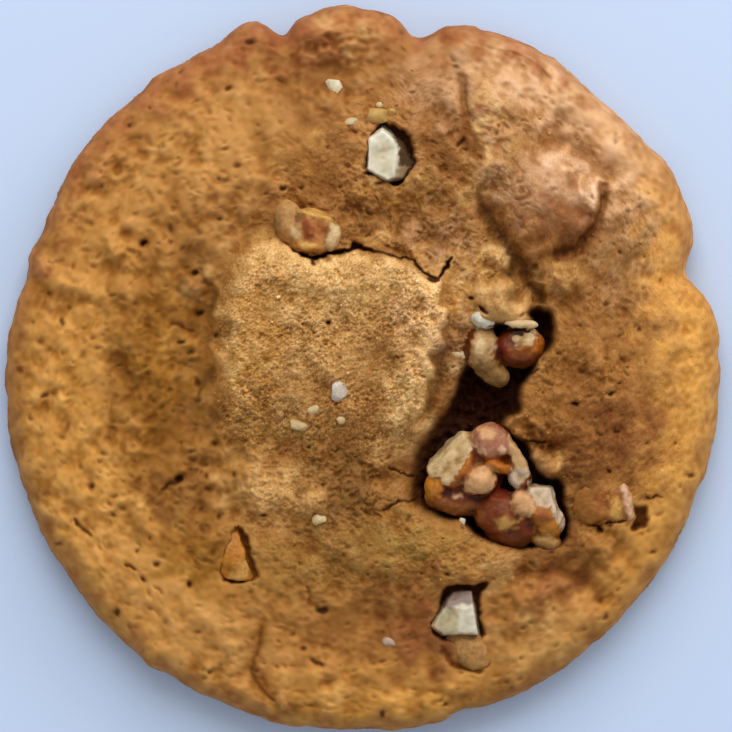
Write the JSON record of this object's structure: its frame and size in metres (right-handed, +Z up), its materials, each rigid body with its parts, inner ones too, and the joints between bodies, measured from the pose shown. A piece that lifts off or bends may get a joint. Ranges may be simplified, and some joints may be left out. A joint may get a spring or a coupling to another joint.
{
  "type": "white chocolate walnut cookie",
  "caption": "Round baked cookie with a lifted, cracked slab of crust in the middle, a torn opening holding walnut pieces, and white chocolate chunks set in the dough.",
  "frame": {"origin": "middle of the flat underside, at the level of the plate that the cookie lies on", "axes": "+Z up out of the crust; +Y towards the end of the cookie that carries the two lumps on its edge, which is the top of the picture; +X to the right of the picture, where the smooth puffed lobe is"},
  "size_m": [0.0862, 0.0876, 0.0139],
  "materials": {
    "baked_crust": "dry baked crust, golden brown",
    "walnut": "cream nut flesh with thin brown skin",
    "white_chocolate": "ivory, slightly waxy"
  },
  "bodies": {
    "root": {"dough": "baked_crust", "walnut_large": "walnut", "walnut_right": "walnut", "walnut_north": "walnut", "walnut_southwest": "walnut", "walnut_east": "walnut", "walnut_south": "walnut", "chocolate_north": "white_chocolate", "chocolate_south": "white_chocolate"}
  },
  "joints": []
}
